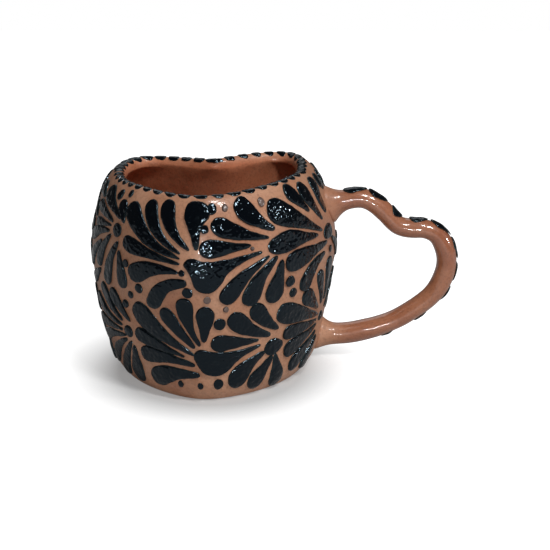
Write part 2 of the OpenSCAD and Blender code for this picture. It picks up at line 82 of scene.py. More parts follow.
# Places in the noise where each unevenness is read: the thumb waves, the stray of the clay
# along x, y and z, and the coarse and the fine lumps of the enamel
THUMB_START = Vector((3.1, 7.7, 1.3))
STRAY_STARTS = (Vector((5.3, 0.4, 8.8)), Vector((1.9, 6.6, 3.2)), Vector((7.4, 2.5, 0.7)))
LUMP_START = Vector((11.3, 2.9, 5.1))
FINE_START = Vector((1.7, 9.2, 4.4))

# Heights over which the thumb waves and the stray grow to their full size
THUMB_HEIGHTS = (4 * MM, 18 * MM)
STRAY_HEIGHTS = (2 * MM, 20 * MM)

# The higher rim at the back right: the heights it grows over, its middle in plan and its width
BACK_LIFT_HEIGHTS = (55 * MM, 86 * MM)
BACK_LIFT_MIDDLE = (24 * MM, 34 * MM)
BACK_LIFT_WIDTH = 24 * MM

# Out to this radius the spread of the foot grows, and beyond it stays the same
SPREAD_RADIUS = 50 * MM

# Where clay counts as the inside of the cup, which is tinted redder with its red raised as
# painted light: how far it faces inwards, the height at which the lip starts, how softly the
# inside starts below that, and the height that it ends at
INNER_FACING = (-0.2, 0.6)
INNER_TOP = 88 * MM
INNER_FADE = 5 * MM
INNER_FLOOR = 5 * MM

# Middles of the handle's two roots on the wall, each with the height that it starts above
ROOT_MIDDLES = (
    (40 * MM, Vector((49 * MM, 19.5 * MM, 68 * MM))),
    (-1, Vector((43 * MM, 19.5 * MM, 9.5 * MM))),
)

# Points of the handle nearer to the wall than the gap go into it by the sink
ROOT_GAP = 0.6 * MM
ROOT_SINK = 0.5 * MM

# Along x, the clay of the cup turns into the browner, wetter clay of the handle here, darkened
# there by painted shade
HANDLE_START = (50 * MM, 62 * MM)

# A long drop, in shares of its length from head to tail: what counts as either end, where its
# neck lies, and where it starts to get slim and to be drawn out
END_SHARE = 0.35
NECK_SHARES = (0.55, 0.9)
SLIM_FROM = 0.3
PULL_FROM = 0.5

# How much more the head of a long drop swells than a round drop
HEAD_SWELL = 1.2

# The dashes of the handle: the heights over which they come back from the far side to the
# middle, and how much less their ends wrap than their middles
DASH_BACK_HEIGHTS = (30 * MM, 75 * MM)
WRAP_TAPER = 0.7

# Distance from the middle of the cup, left or right, over which the lip's dashes get longer
LIP_SIDES = (22 * MM, 40 * MM)

# Drops that the brush pushed aside: the middle of the pushed place, the push and its reach
PUSHES = {
    "petals_upper_front": (
        Vector((2.2, -37.8, 82.0)) * MM,
        Vector((5.0, 1.2, 0.2)) * MM,
        5.2 * MM,
    ),
    "petals_lower_front": (
        Vector((7.5, -45.0, 37.5)) * MM,
        Vector((1.8, 0.2, -0.3)) * MM,
        3.5 * MM,
    ),
}

# Enamel lower than this over the clay is the foot of its drop
ENAMEL_FOOT = 0.32 * MM

# The fine lumps of the enamel beside the coarse ones: their size and their height, as shares,
# and how much the coarse lumps raise the level that a drop flattens at
FINE_SIZE = 0.37
FINE_HEIGHT = 0.35
LUMP_LEVEL = 0.25

# The floor: its own grey, a reach round the mug, and how white the floor glows for the camera at
# shares of that reach; the glow is dimmer near the mug, a painted shadow round its foot
FLOOR_GREY = 0.45
FLOOR_REACH = 0.25
FLOOR_GLOW_AND_PAINTED_SHADOW = ((0.16, 0.22), (0.22, 0.64), (0.265, 0.89), (0.32, 0.98), (1.0, 1.0))

# Height of the middle of the cup over its foot, where the lamps and the camera look
MIDDLE_HEIGHT = 43 * MM

# The camera: side of the photograph in pixels, width of the sensor in millimetres, and how
# near and how far it sees
PHOTO_PX = 550
SENSOR_WIDTH = 36
CLIP = (0.01, 100)


class MugSizes(bpy.types.PropertyGroup):
    """Sizes of the dressed mug that a maker would change."""

    clay_levels: bpy.props.IntProperty(
        name="Clay smoothing", description="How often the faces of the clay are halved",
        default=2, min=1, max=3,
    )
    foot_angle: bpy.props.FloatProperty(
        name="Foot angle", description="Edges of the cup that turn more than this stay firm",
        default=math.radians(36), subtype="ANGLE", unit="ROTATION",
    )
    foot_crease: bpy.props.FloatProperty(
        name="Foot firmness", description="How firm the edge of the foot stays",
        default=0.85, min=0, max=1, subtype="FACTOR",
    )
    enamel_levels: bpy.props.IntProperty(
        name="Enamel smoothing", description="How often the faces of the enamel are halved",
        default=2, min=1, max=3,
    )
    enamel_sink: bpy.props.FloatProperty(
        name="Enamel sink", description="How far the foot of the enamel goes into the clay",
        default=0.7 * MM, unit="LENGTH", subtype="DISTANCE",
    )
    petal_swell: bpy.props.FloatProperty(
        name="Petal swell", description="How far petals and hubs swell beyond their outline",
        default=0.8 * MM, unit="LENGTH", subtype="DISTANCE",
    )
    petal_rise: bpy.props.FloatProperty(
        name="Petal rise", description="Height at which petals and dots level off",
        default=0.85 * MM, unit="LENGTH", subtype="DISTANCE",
    )
    long_drop: bpy.props.FloatProperty(
        name="Long drop", description="Drops longer than this have a drawn-out tail",
        default=8 * MM, unit="LENGTH", subtype="DISTANCE",
    )
    tail_reach: bpy.props.FloatProperty(
        name="Tail reach", description="How much further the tail of a petal is drawn out",
        default=1.5 * MM, unit="LENGTH", subtype="DISTANCE",
    )
    tail_slim: bpy.props.FloatProperty(
        name="Tail swell", description="Swell of a petal's tail as a share of its head's",
        default=0.25, min=0, max=1, subtype="FACTOR",
    )
    handle_dash_stretch: bpy.props.FloatProperty(
        name="Handle dash stretch", description="How much further the dashes wrap the handle",
        default=2.0, min=1, max=2.4,
    )
    lip_dash_stretch: bpy.props.FloatProperty(
        name="Lip dash stretch", description="How much longer the dashes run along the lip",
        default=1.15, min=1, max=1.3,
    )
    lip_side_stretch: bpy.props.FloatProperty(
        name="Lip side stretch",
        description="How much longer the lip's dashes are at its two sides",
        default=0.4, min=0, max=0.6,
    )
    dash_back: bpy.props.FloatProperty(
        name="Dash back",
        description="How far the handle's lowest dashes sit towards the far side",
        default=2.5 * MM, unit="LENGTH", subtype="DISTANCE",
    )
    lip_dash_lean: bpy.props.FloatProperty(
        name="Lip dash lean", description="How much further the dashes of the lip slant",
        default=0.5 * MM, unit="LENGTH", subtype="DISTANCE",
    )
    dash_swell: bpy.props.FloatProperty(
        name="Dash swell", description="How far dashes and dots swell beyond their outline",
        default=0.3 * MM, unit="LENGTH", subtype="DISTANCE",
    )
    dash_rise: bpy.props.FloatProperty(
        name="Dash rise", description="Height at which dashes level off",
        default=0.4 * MM, unit="LENGTH", subtype="DISTANCE",
    )
    handle_dash_rise: bpy.props.FloatProperty(
        name="Handle dash rise", description="Height at which the dashes of the handle level off",
        default=0.8 * MM, unit="LENGTH", subtype="DISTANCE",
    )
    hand_wobble: bpy.props.FloatProperty(
        name="Hand wobble", description="How uneven the squeezed enamel is",
        default=0.24 * MM, unit="LENGTH", subtype="DISTANCE",
    )
    wobble_size: bpy.props.FloatProperty(
        name="Wobble size", description="Size of the lumps in the enamel",
        default=3.2 * MM, unit="LENGTH", subtype="DISTANCE",
    )
    hand_bend: bpy.props.FloatProperty(
        name="Hand bend", description="How far the whole hand-built form strays",
        default=0.9 * MM, unit="LENGTH", subtype="DISTANCE",
    )
    hand_bend_size: bpy.props.FloatProperty(
        name="Hand bend size", description="Size of the swells in the hand-built form",
        default=34 * MM, unit="LENGTH", subtype="DISTANCE",
    )
    foot_spread: bpy.props.FloatProperty(
        name="Foot spread", description="How far the soft clay spread at the foot, as a share",
        default=0.05, min=0, max=0.2,
    )
    foot_lift: bpy.props.FloatProperty(
        name="Foot lift", description="How much taller the spread foot lifts the mug",
        default=1.0 * MM, unit="LENGTH", subtype="DISTANCE",
    )
    foot_spread_height: bpy.props.FloatProperty(
        name="Foot spread height", description="Height at which that spread has died out",
        default=15 * MM, unit="LENGTH", subtype="DISTANCE",
    )
    back_lift: bpy.props.FloatProperty(
        name="Back lift", description="How much higher the rim stands at the back right",
        default=1.1 * MM, unit="LENGTH", subtype="DISTANCE",
    )
    thumb_wave: bpy.props.FloatProperty(
        name="Thumb waves", description="How uneven the hand-pressed clay is",
        default=0.3 * MM, unit="LENGTH", subtype="DISTANCE",
    )
    cup_thumb: bpy.props.FloatProperty(
        name="Cup thumb size", description="Size of the waves in the clay of the cup",
        default=15 * MM, unit="LENGTH", subtype="DISTANCE",
    )
    handle_thumb: bpy.props.FloatProperty(
        name="Handle thumb size", description="Size of the waves in the clay of the handle",
        default=8 * MM, unit="LENGTH", subtype="DISTANCE",
    )
    root_reach: bpy.props.FloatProperty(
        name="Root reach", description="How far from the wall the roots of the handle spread",
        default=7 * MM, unit="LENGTH", subtype="DISTANCE",
    )
    root_spread: bpy.props.FloatProperty(
        name="Root spread", description="How far the roots of the handle spread over the wall",
        default=1.7 * MM, unit="LENGTH", subtype="DISTANCE",
    )


class MugColours(bpy.types.PropertyGroup):
    """Colours of the clay and the enamels."""

    clay: bpy.props.FloatVectorProperty(
        name="Clay", description="Terracotta under the clear glaze",
        subtype="COLOR", size=3, default=(0.425, 0.197, 0.110), min=0, max=1,
    )
    clay_pale: bpy.props.FloatVectorProperty(
        name="Pale clay", description="Pinkish bloom on the clay",
        subtype="COLOR", size=3, default=(0.515, 0.273, 0.170), min=0, max=1,
    )
    clay_deep: bpy.props.FloatVectorProperty(
        name="Deep clay", description="Burnt patches of the clay",
        subtype="COLOR", size=3, default=(0.33, 0.130, 0.072), min=0, max=1,
    )
    # The handle's browner tone, also darkened as painted shade for the dimmer light that should
    # fall on it
    handle_tone_and_painted_shade: bpy.props.FloatVectorProperty(
        name="Handle shade", description="Browns the clay of the handle",
        subtype="COLOR", size=3, default=(0.85, 0.65, 0.545), min=0, max=1,
    )
    # The inside's redder tint; its red is raised above the clay's own as painted light, so the
    # inside looks better lit
    inner_tint_and_painted_light: bpy.props.FloatVectorProperty(
        name="Inner shade", description="Tints the clay inside the cup redder",
        subtype="COLOR", size=3, default=(1.16, 0.87, 0.76), min=0, max=1.5,
    )
    enamel: bpy.props.FloatVectorProperty(
        name="Enamel", description="Thick blue-black enamel",
        subtype="COLOR", size=3, default=(0.0014, 0.0021, 0.0036), min=0, max=1,
    )
    enamel_thin: bpy.props.FloatVectorProperty(
        name="Thin enamel", description="Teal grey of the enamel where it runs thin",
        subtype="COLOR", size=3, default=(0.020, 0.031, 0.033), min=0, max=1,
    )
    grey: bpy.props.FloatVectorProperty(
        name="Grey dots", description="Thin grey-brown enamel",
        subtype="COLOR", size=3, default=(0.13, 0.088, 0.074), min=0, max=1,
    )
    grey_edge: bpy.props.FloatVectorProperty(
        name="Grey dot edge", description="Dark ring where the brush let go of a grey dot",
        subtype="COLOR", size=3, default=(0.022, 0.018, 0.018), min=0, max=1,
    )
    sheen: bpy.props.FloatVectorProperty(
        name="Enamel sheen", description="Tint of what the dark enamel mirrors",
        subtype="COLOR", size=3, default=(0.62, 0.84, 1.0), min=0, max=1,
    )


class MugStage(bpy.types.PropertyGroup):
    """Floor, lamps and camera."""

    floor_size: bpy.props.FloatProperty(
        name="Floor", description="Side of the floor", default=1.8,
        unit="LENGTH", subtype="DISTANCE",
    )
    room_level: bpy.props.FloatProperty(
        name="Room light", description="Strength of the even light of the room", default=0.18,
    )
    room_gleam: bpy.props.FloatProperty(
        name="Room gleam", description="How bright the room is where the glaze mirrors it",
        default=0.04,
    )
    key_power: bpy.props.FloatProperty(
        name="Key lamp", description="Power of the lamp over the front of the mug", default=3.3,
        unit="POWER",
    )
    key_size: bpy.props.FloatProperty(
        name="Key size", description="Side of the key lamp", default=0.12,
        unit="LENGTH", subtype="DISTANCE",
    )
    lamp_distance: bpy.props.FloatProperty(
        name="Lamp distance", description="From the key, strip and side lamps to the cup",
        default=1.1, unit="LENGTH", subtype="DISTANCE",
    )
    key_height: bpy.props.FloatProperty(
        name="Key height", description="Angle of the key lamp above the table",
        default=math.radians(50), subtype="ANGLE", unit="ROTATION",
    )
    key_turn: bpy.props.FloatProperty(
        name="Key turn", description="Angle of the key lamp round the mug",
        default=math.radians(48), subtype="ANGLE", unit="ROTATION",
    )
    strip_power: bpy.props.FloatProperty(
        name="Strip lamp", description="Power of the long low lamp that the glaze mirrors",
        default=3.4, unit="POWER",
    )
    strip_size: bpy.props.FloatVectorProperty(
        name="Strip size", description="Length and height of the strip lamp",
        default=(0.24, 0.012), size=2, unit="LENGTH", subtype="XYZ",
    )
    strip_height: bpy.props.FloatProperty(
        name="Strip height", description="Angle of the strip lamp above the table",
        default=math.radians(6), subtype="ANGLE", unit="ROTATION",
    )
    strip_turn: bpy.props.FloatProperty(
        name="Strip turn", description="Angle of the strip lamp round the mug",
        default=math.radians(5), subtype="ANGLE", unit="ROTATION",
    )
    side_power: bpy.props.FloatProperty(
        name="Side lamp",
        description="Power of the small lamp by the handle that the glaze mirrors",
        default=1.5, unit="POWER",
    )
    side_size: bpy.props.FloatProperty(
        name="Side lamp size", description="Side of the small lamp", default=0.05,
        unit="LENGTH", subtype="DISTANCE",
    )
    side_height: bpy.props.FloatProperty(
        name="Side lamp height", description="Angle of the small lamp above the table",
        default=math.radians(14), subtype="ANGLE", unit="ROTATION",
    )
    side_turn: bpy.props.FloatProperty(
        name="Side lamp turn", description="Angle of the small lamp round the mug",
        default=math.radians(82), subtype="ANGLE", unit="ROTATION",
    )
    top_power: bpy.props.FloatProperty(
        name="Top lamp", description="Power of the lamp high over the mug", default=2.9,
        unit="POWER",
    )
    top_size: bpy.props.FloatProperty(
        name="Top lamp size", description="Side of the top lamp", default=0.14,
        unit="LENGTH", subtype="DISTANCE",
    )
    top_place: bpy.props.FloatVectorProperty(
        name="Top lamp place", description="Where the top lamp hangs",
        default=(0.32, -0.42, 0.96), size=3, unit="LENGTH", subtype="XYZ",
    )
    back_power: bpy.props.FloatProperty(
        name="Back lamp", description="Power of the soft lamp behind the mug", default=1.4,
        unit="POWER",
    )
    back_size: bpy.props.FloatProperty(
        name="Back lamp size", description="Side of the back lamp", default=0.8,
        unit="LENGTH", subtype="DISTANCE",
    )
    back_place: bpy.props.FloatVectorProperty(
        name="Back lamp place", description="Where the back lamp hangs",
        default=(-0.1, 0.9, 0.75), size=3, unit="LENGTH", subtype="XYZ",
    )
    camera_distance: bpy.props.FloatProperty(
        name="Camera distance", description="From the camera to the middle of the cup",
        default=0.6183, unit="LENGTH", subtype="DISTANCE",
    )
    camera_height: bpy.props.FloatProperty(
        name="Camera height", description="Angle of the camera above the table",
        default=math.radians(18.7), subtype="ANGLE", unit="ROTATION",
    )
    camera_turn: bpy.props.FloatProperty(
        name="Camera turn", description="Angle of the camera round the mug",
        default=math.radians(6.15), subtype="ANGLE", unit="ROTATION",
    )
    camera_roll: bpy.props.FloatProperty(
        name="Camera roll", description="Tilt of the camera about its own line of sight",
        default=math.radians(-0.94), subtype="ANGLE", unit="ROTATION",
    )
    camera_focal_px: bpy.props.FloatProperty(
        name="Focal length", description="Focal length in pixels of the photograph",
        default=1444.5,
    )
    aim_px: bpy.props.FloatVectorProperty(
        name="Aim", description="Where the middle of the cup lies in the picture, in pixels",
        size=2, default=(209.69, 272.68),
    )


# ---- meshes


def only(piece):
    """Selects this piece alone and makes it active."""
    bpy.ops.object.select_all(action="DESELECT")
    piece.select_set(True)
    bpy.context.view_layer.objects.active = piece


def copy_of(node, name):
    """A copy of a node's mesh under a new name, merged and turned into quads."""
    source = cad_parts[node]
    piece = bpy.data.objects.new(name, source.data.copy())
    bpy.context.scene.collection.objects.link(piece)
    piece.data.materials.clear()
    only(piece)
    bpy.ops.object.mode_set(mode="EDIT")
    bpy.ops.mesh.select_all(action="SELECT")
    bpy.ops.mesh.remove_doubles(threshold=MERGE_GAP)
    bpy.ops.mesh.tris_convert_to_quads(face_threshold=QUAD_ANGLE, shape_threshold=QUAD_ANGLE)
    bpy.ops.object.mode_set(mode="OBJECT")
    return piece


def smooth(piece, levels):
    """Halves the piece's faces and rounds it, for good."""
    only(piece)
    halved = piece.modifiers.new("halved", "SUBSURF")
    halved.levels = halved.render_levels = levels
    bpy.ops.object.modifier_apply(modifier=halved.name)
    bpy.ops.object.shade_smooth()


def points_of(piece):
    """Where all the piece's points are, as copies that can be changed."""
    return [vertex.co.copy() for vertex in piece.data.vertices]


def place_points(piece, points):
    """Moves all the piece's points at once."""
    piece.data.vertices.foreach_set("co", [value for point in points for value in point])
    piece.data.update()


def note(piece, name, values):
    """Keeps one number for each point of the piece, under a name that a material can read."""
    layer = piece.data.attributes.new(name, "FLOAT", "POINT")
    layer.data.foreach_set("value", values)


def surface_of(*names):
    """One tree over the faces of the pieces of these names, to find the nearest clay."""
    points, faces = [], []
    for name in names:
        piece = bpy.data.objects[name]
        first = len(points)
        points += points_of(piece)
        faces += [[first + k for k in face.vertices] for face in piece.data.polygons]
    return BVHTree.FromPolygons(points, faces)


def put_on(piece, material, slot, *nodes):
    """Gives the piece its material and its places in the frame."""
    piece.data.materials.clear()
    piece.data.materials.append(material)
    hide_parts(*nodes)
    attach(piece, "root")


# ---- materials


def adder(tree):
    """A function that adds a node to this tree, sets it up and feeds its inputs."""

    def add(kind, inputs=None, **settings):
        node = tree.nodes.new(kind)
        for key, value in settings.items():
            setattr(node, key, value)
        for key, value in (inputs or {}).items():
            if isinstance(value, bpy.types.NodeSocket):
                tree.links.new(value, node.inputs[key])
            else:
                node.inputs[key].default_value = value
        return node

    return add


def new_material(name):
    """A material with its shader, a function that adds a node and one that links two."""
    material = bpy.data.materials.new(name)
    material.use_nodes = True
    tree = material.node_tree
    return material, tree.nodes["Principled BSDF"], adder(tree), tree.links.new


def clouds(add, place, scale, detail, roughness):
    """Soft noise from 0 to 1 over the piece."""
    inputs = {"Vector": place, "Scale": scale, "Detail": detail, "Roughness": roughness}
    return add("ShaderNodeTexNoise", inputs).outputs["Fac"]


def bump(add, height, strength, distance, under=None):
    """A relief in the light, laid over another one where that is given."""
    inputs = {"Height": height, "Strength": strength, "Distance": distance}
    if under is not None:
        inputs["Normal"] = under
    return add("ShaderNodeBump", inputs).outputs["Normal"]


def ramp(add, value, *stops):
    """Turns a value into the greys or colours of its stops, each a place and a tone."""
    node = add("ShaderNodeValToRGB", {"Fac": value})
    elements = node.color_ramp.elements
    while len(elements) < len(stops):
        elements.new(0.5)
    for element, (place, tone) in zip(elements, stops):
        element.position = place
        if isinstance(tone, (int, float)):
            tone = (tone, tone, tone)
        element.color = (*tone, 1)
    return node.outputs["Color"]


def blend(add, share, first, second, kind):
    """Blends a second colour into a first one by a share."""
    inputs = {"Factor": share, "A": first, "B": second}
    return add("ShaderNodeMix", inputs, data_type="RGBA", blend_type=kind).outputs["Result"]


def spread(add, value, low, high):
    """Spreads a value of 0 to 1 between two others."""
    inputs = {"Value": value, "To Min": low, "To Max": high}
    return add("ShaderNodeMapRange", inputs).outputs["Result"]


def clay_material(colours):
    """Mottled terracotta under a thin clear glaze; on the handle it is browner and wetter, and
    darker with painted shade.
    """
    material, shader, add, link = new_material(CLAY_NAME)
    place = add("ShaderNodeTexCoord").outputs["Object"]
    bloom = clouds(add, place, scale=70, detail=5, roughness=0.6)
    patches = clouds(add, place, scale=26, detail=3, roughness=0.5)
    specks = clouds(add, place, scale=900, detail=3, roughness=0.7)
    waves = clouds(add, place, scale=160, detail=4, roughness=0.55)
    inner = add("ShaderNodeAttribute", attribute_name="inner").outputs["Fac"]
    along = add("ShaderNodeSeparateXYZ", {"Vector": place}).outputs["X"]
    on_handle = add(
        "ShaderNodeMapRange",
        {"Value": along, "From Min": HANDLE_START[0], "From Max": HANDLE_START[1]},
        interpolation_type="SMOOTHSTEP",
    ).outputs["Result"]

    colour = ramp(add, bloom, (0.36, tuple(colours.clay)), (0.66, tuple(colours.clay_pale)))
    burnt = ramp(add, patches, (0.30, 0.75), (0.50, 0.0))
    colour = blend(add, burnt, colour, (*colours.clay_deep, 1), "MIX")
    dust = ramp(add, specks, (0.34, 0.62), (0.52, 1.0))
    colour = blend(add, 0.6, colour, dust, "MULTIPLY")
    # painted shade: the handle's clay is browned and darkened, standing in for the dimmer light
    # on it
    colour = blend(add, on_handle, colour, (*colours.handle_tone_and_painted_shade, 1), "MULTIPLY")
    # painted light: the inside is tinted redder and its red raised, so it looks better lit than
    # the lamps make it
    colour = blend(add, inner, colour, (*colours.inner_tint_and_painted_light, 1), "MULTIPLY")
    link(colour, shader.inputs["Base Color"])

    link(spread(add, bloom, 0.30, 0.50), shader.inputs["Roughness"])
    shader.inputs["Specular IOR Level"].default_value = 0.35
    pressed = bump(add, waves, strength=0.35, distance=0.9 * MM)
    grained = bump(add, specks, strength=0.25, distance=0.2 * MM, under=pressed)
    link(grained, shader.inputs["Normal"])

    link(spread(add, on_handle, 0.15, 1.0), shader.inputs["Coat Weight"])
    shader.inputs["Coat Roughness"].default_value = 0.05
    shader.inputs["Coat IOR"].default_value = 1.75
    glaze = bump(add, waves, strength=0.2, distance=0.9 * MM)
    link(glaze, shader.inputs["Coat Normal"])
    return material


def enamel_material(name, thick, thin, roughness, sheen):
    """Glossy enamel with fine pimples, dark where thick and paler at its thin edges."""
    material, shader, add, link = new_material(name)
    place = add("ShaderNodeTexCoord").outputs["Object"]
    depth = add("ShaderNodeAttribute", attribute_name="enamel_depth").outputs["Fac"]
    cloud = clouds(add, place, scale=210, detail=4, roughness=0.65)
    pimples = clouds(add, place, scale=640, detail=0.5, roughness=0.5)
    swells = clouds(add, place, scale=260, detail=2, roughness=0.5)

    centred = {0: cloud, 1: 0.9, 2: -0.45}
    uneven = add("ShaderNodeMath", centred, operation="MULTIPLY_ADD").outputs["Value"]
    depth = add("ShaderNodeMath", {0: depth, 1: uneven}, operation="ADD").outputs["Value"]
    tone = ramp(add, depth, (0.25, tuple(thin)), (0.80, tuple(thick)))
    link(tone, shader.inputs["Base Color"])

    swollen = bump(add, swells, strength=0.45, distance=1.0 * MM)
    pimpled = bump(add, pimples, strength=0.65, distance=0.6 * MM, under=swollen)
    link(pimpled, shader.inputs["Normal"])
    shader.inputs["Roughness"].default_value = roughness
    shader.inputs["Specular IOR Level"].default_value = 0.5
    shader.inputs["Specular Tint"].default_value = (*sheen, 1)
    return material


def dark_enamel(colours):
    """The blue-black enamel, made when it is first asked for."""
    return bpy.data.materials.get(DARK_NAME) or enamel_material(
        DARK_NAME, colours.enamel, colours.enamel_thin, roughness=0.09, sheen=colours.sheen
    )


def grey_enamel(colours):
    """The thin grey-brown enamel, which mirrors untinted."""
    return enamel_material(
        GREY_NAME, colours.grey, colours.grey_edge, roughness=0.3, sheen=(1, 1, 1)
    )


# ---- the hand of the maker


def fade_in(value, start, end):
    """Rises smoothly from 0 at the start to 1 at the end."""
    share = min(1.0, max(0.0, (value - start) / (end - start)))
    return share * share * (3 - 2 * share)


def press_by_hand(piece, wave, size):
    """Shallow thumb waves in the clay, none at the foot."""
    moved = []
    for vertex in piece.data.vertices:
        point = vertex.co
        lift = noise.noise(point / size + THUMB_START) * wave
        moved.append(point + vertex.normal * (lift * fade_in(point.z, *THUMB_HEIGHTS)))
    place_points(piece, moved)


def bend_by_hand(piece, sizes):
    """Strays clay and enamel alike, spreads the foot and lifts the back right rim."""
    moved = []
    for point in points_of(piece):
        stray = Vector(
            [noise.noise(point / sizes.hand_bend_size + start) for start in STRAY_STARTS]
        )
        stray *= sizes.hand_bend * fade_in(point.z, *STRAY_HEIGHTS)
        x, y = BACK_LIFT_MIDDLE
        away = ((point.x - x) ** 2 + (point.y - y) ** 2) / BACK_LIFT_WIDTH**2
        lift = sizes.back_lift * fade_in(point.z, *BACK_LIFT_HEIGHTS) * math.exp(-away)
        above = fade_in(point.z, 0, sizes.foot_spread_height)
        outwards = Vector((*point.xy, 0)) * min(1, SPREAD_RADIUS / max(point.xy.length, MM))
        moved.append(
            point + stray + outwards * (sizes.foot_spread * (1 - above))
            + Vector((0, 0, lift + sizes.foot_lift * above))
        )
    place_points(piece, moved)


# ---- clay


def inside_share(vertex):
    """How far a point of the cup belongs to its inside, from 0 to 1."""
    if vertex.co.z <= INNER_FLOOR:
        return 0.0
    outwards = Vector((*vertex.co.xy, 0)).normalized()
    facing = fade_in(-vertex.normal.dot(outwards), *INNER_FACING)
    return facing * fade_in(INNER_TOP - vertex.co.z, 0, INNER_FADE)


class MUG_OT_cup(bpy.types.Operator):
    """Rounds the cup's wall, floor and lip and presses them by hand"""

    bl_idname = "mug.cup"
    bl_label = "Cup"

    def execute(self, context):
        sizes = context.scene.mug_sizes
        cup = copy_of("cup_body", CUP_NAME)
        bpy.ops.object.mode_set(mode="EDIT")
        bpy.ops.mesh.select_all(action="DESELECT")
        bpy.ops.mesh.edges_select_sharp(sharpness=sizes.foot_angle)
        bpy.ops.transform.edge_crease(value=sizes.foot_crease)
        bpy.ops.object.mode_set(mode="OBJECT")
        smooth(cup, sizes.clay_levels)
        press_by_hand(cup, sizes.thumb_wave, sizes.cup_thumb)
        note(cup, "inner", [inside_share(vertex) for vertex in cup.data.vertices])
        put_on(cup, clay_material(context.scene.mug_colours), "clay", "cup_body")
        return {"FINISHED"}


def spread_roots(handle, wall, sizes):
    """Spreads the handle's two roots over the wall and sinks their edges into it."""
    moved = []
    for point in points_of(handle):
        near, normal, _, gap = wall.find_nearest(point)
        if gap < sizes.root_reach:
            middle = next(m for low, m in ROOT_MIDDLES if point.z > low)
            outwards = point - middle
            outwards -= outwards.dot(normal) * normal
            share = (1 - gap / sizes.root_reach) ** 2
            point += outwards.normalized() * (sizes.root_spread * share)
            near, normal, _, gap = wall.find_nearest(point)
        if gap < ROOT_GAP:
            point = near - normal * ROOT_SINK
        moved.append(point)
    place_points(handle, moved)


class MUG_OT_handle(bpy.types.Operator):
    """Rounds the heart-shaped handle and works its two roots into the wall"""

    bl_idname = "mug.handle"
    bl_label = "Handle"

    def execute(self, context):
        sizes = context.scene.mug_sizes
        handle = copy_of("handle", HANDLE_NAME)
        smooth(handle, sizes.clay_levels)
        press_by_hand(handle, sizes.thumb_wave, sizes.handle_thumb)
        spread_roots(handle, surface_of(CUP_NAME), sizes)
        put_on(handle, bpy.data.materials[CLAY_NAME], "clay", "handle")
        return {"FINISHED"}


# ---- enamel


def drops_of(piece):
    """The separate bodies of a mesh, each as the list of its points' numbers."""
    parent = list(range(len(piece.data.vertices)))

    def top(k):
        while parent[k] != k:
            parent[k] = parent[parent[k]]
            k = parent[k]
        return k

    for edge in piece.data.edges:
        parent[top(edge.vertices[0])] = top(edge.vertices[1])
    drops = {}
    for k in range(len(parent)):
        drops.setdefault(top(k), []).append(k)
    return list(drops.values())


def mean(points):
    """The middle of these points."""
    return sum(points, Vector()) / len(points)


def carried(clay, point, place):
    """Where a point comes to lie near a new place, as high over the clay as before."""
    near, normal, _, _ = clay.find_nearest(point)
    height = (point - near).dot(normal)
    near, normal, _, _ = clay.find_nearest(place)
    return near + normal * height


def wrap_dashes(piece, clay, sizes):
    """Carries the dashes of the handle further round its back, as lenses."""
    points = points_of(piece)
    for drop in drops_of(piece):
        middle = mean([points[k] for k in drop])
        half = max((points[k] - middle).xz.length for k in drop)
        back = sizes.dash_back * (1 - fade_in(middle.z, *DASH_BACK_HEIGHTS))
        for k in drop:
            point = points[k]
            share = (point - middle).xz.length / half
            stretch = sizes.handle_dash_stretch * (1 - WRAP_TAPER * share * share)
            wider = Vector((point.x, middle.y + back + (point.y - middle.y) * stretch, point.z))
            points[k] = carried(clay, point, wider)
    place_points(piece, points)


def stroke_dashes(piece, clay, sizes):
    """Draws the dashes of the lip out along it, as slanted strokes of the brush."""
    points = points_of(piece)
    for drop in drops_of(piece):
        middle = mean([points[k] for k in drop])
        inner = min((points[k] for k in drop), key=lambda point: point.xy.length)
        outer = max((points[k] for k in drop), key=lambda point: point.xy.length)
        across = (outer - inner).normalized()
        along = UP.cross(across).normalized()
        half = (outer - inner).length / 2
        longest = sizes.lip_side_stretch * fade_in(abs(middle.x), *LIP_SIDES)
        for k in drop:
            point = points[k]
            aside, out = (point - middle).dot(along), (point - middle).dot(across) / half
            shift = aside * (sizes.lip_dash_stretch - 1) + sizes.lip_dash_lean * out
            longer = out * half * longest
            points[k] = carried(clay, point, point + along * shift + across * longer)
    place_points(piece, points)


def draw_tails(piece, sizes):
    """Draws out the thin end of each long drop and notes where it stays slim."""
    points = points_of(piece)
    swell = [1.0] * len(points)
    for drop in drops_of(piece):
        middle = mean([points[k] for k in drop])
        tail = max((points[k] for k in drop), key=lambda point: (point - middle).length)
        head = max((points[k] for k in drop), key=lambda point: (point - tail).length)
        length = (tail - head).length
        if length < sizes.long_drop:
            continue
        along = (tail - head) / length
        shares = {k: (points[k] - head).dot(along) / length for k in drop}
        aside = {k: (points[k] - head - along * shares[k] * length).length for k in drop}
        head_width, tail_width = (
            max(aside[k] for k in drop if low <= shares[k] <= low + END_SHARE)
            for low in (0, 1 - END_SHARE)
        )
        if tail_width > head_width:
            tail = head
            shares = {k: 1 - share for k, share in shares.items()}
        neck = [points[k] for k in drop if NECK_SHARES[0] < shares[k] < NECK_SHARES[1]]
        pull = (tail - mean(neck)).normalized() * sizes.tail_reach
        for k in drop:
            thin = fade_in(shares[k], SLIM_FROM, 1)
            swell[k] = HEAD_SWELL - (HEAD_SWELL - sizes.tail_slim) * thin
            points[k] = points[k] + pull * fade_in(shares[k], PULL_FROM, 1)
    place_points(piece, points)
    note(piece, "swell", swell)


def push_drop(piece, clay, middle, push, reach):
    """Pushes the enamel round one place aside, keeping it on the clay."""
    points = points_of(piece)
    for k, point in enumerate(points):
        share = 1 - fade_in((point - middle).length, 0, reach)
        if share > 0:
            points[k] = carried(clay, point, point + push * share)
    place_points(piece, points)


def sink_foot(piece, clay, depth):
    """Sinks the foot of every drop into the clay."""
    points = points_of(piece)
    for k, point in enumerate(points):
        near, normal, _, _ = clay.find_nearest(point)
        if (point - near).dot(normal) < ENAMEL_FOOT:
            points[k] = near - normal * depth
    place_points(piece, points)


